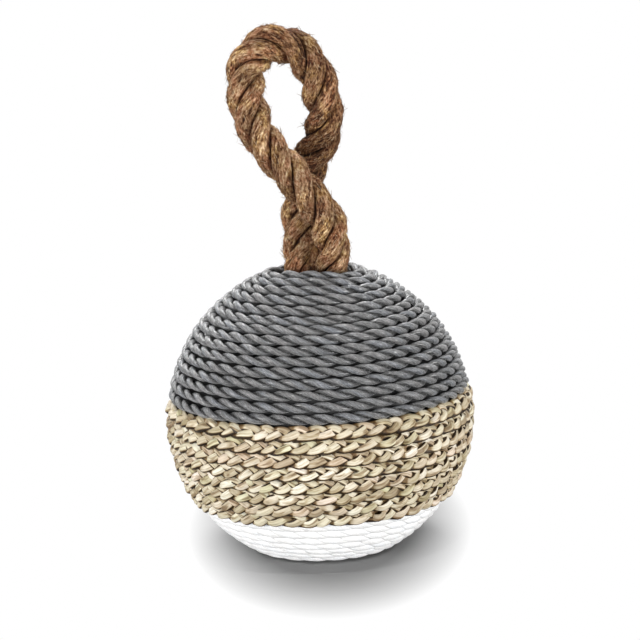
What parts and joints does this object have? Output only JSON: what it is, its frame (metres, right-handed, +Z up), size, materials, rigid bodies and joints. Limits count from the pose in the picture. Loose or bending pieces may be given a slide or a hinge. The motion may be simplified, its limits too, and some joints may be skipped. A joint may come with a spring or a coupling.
{
  "type": "rope ball doorstop",
  "caption": "Heavy ball wound with grey cord, natural braid and white cord, with a crossed loop of thick brown rope on top as a carrying handle; stands on the floor and holds a door open.",
  "frame": {"origin": "middle of the base pad's underside, on the floor", "axes": "+Z up through the ball's axis, which the cords wind round; the handle's eye is seen face on when looking along +Y, with +X to the right"},
  "size_m": [0.1589, 0.1606, 0.2745],
  "materials": {
    "core_plastic": "matte",
    "sand": "matte",
    "felt": "matte",
    "grey_cord": "satin",
    "natural_braid": "matte",
    "white_cord": "matte",
    "brown_rope": "matte",
    "clamp_steel": "satin",
    "seizing_twine": "matte"
  },
  "bodies": {
    "root": {"core_upper_shell": "core_plastic", "core_lower_shell": "core_plastic", "filler_plug": "core_plastic", "sand_ballast": "sand", "base_pad": "felt", "grey_cord_winding": "grey_cord", "natural_braid_winding": "natural_braid", "white_cord_winding": "white_cord", "handle_rope": "brown_rope", "rope_clamp": "clamp_steel", "rope_end_seizing": "seizing_twine"}
  },
  "joints": []
}
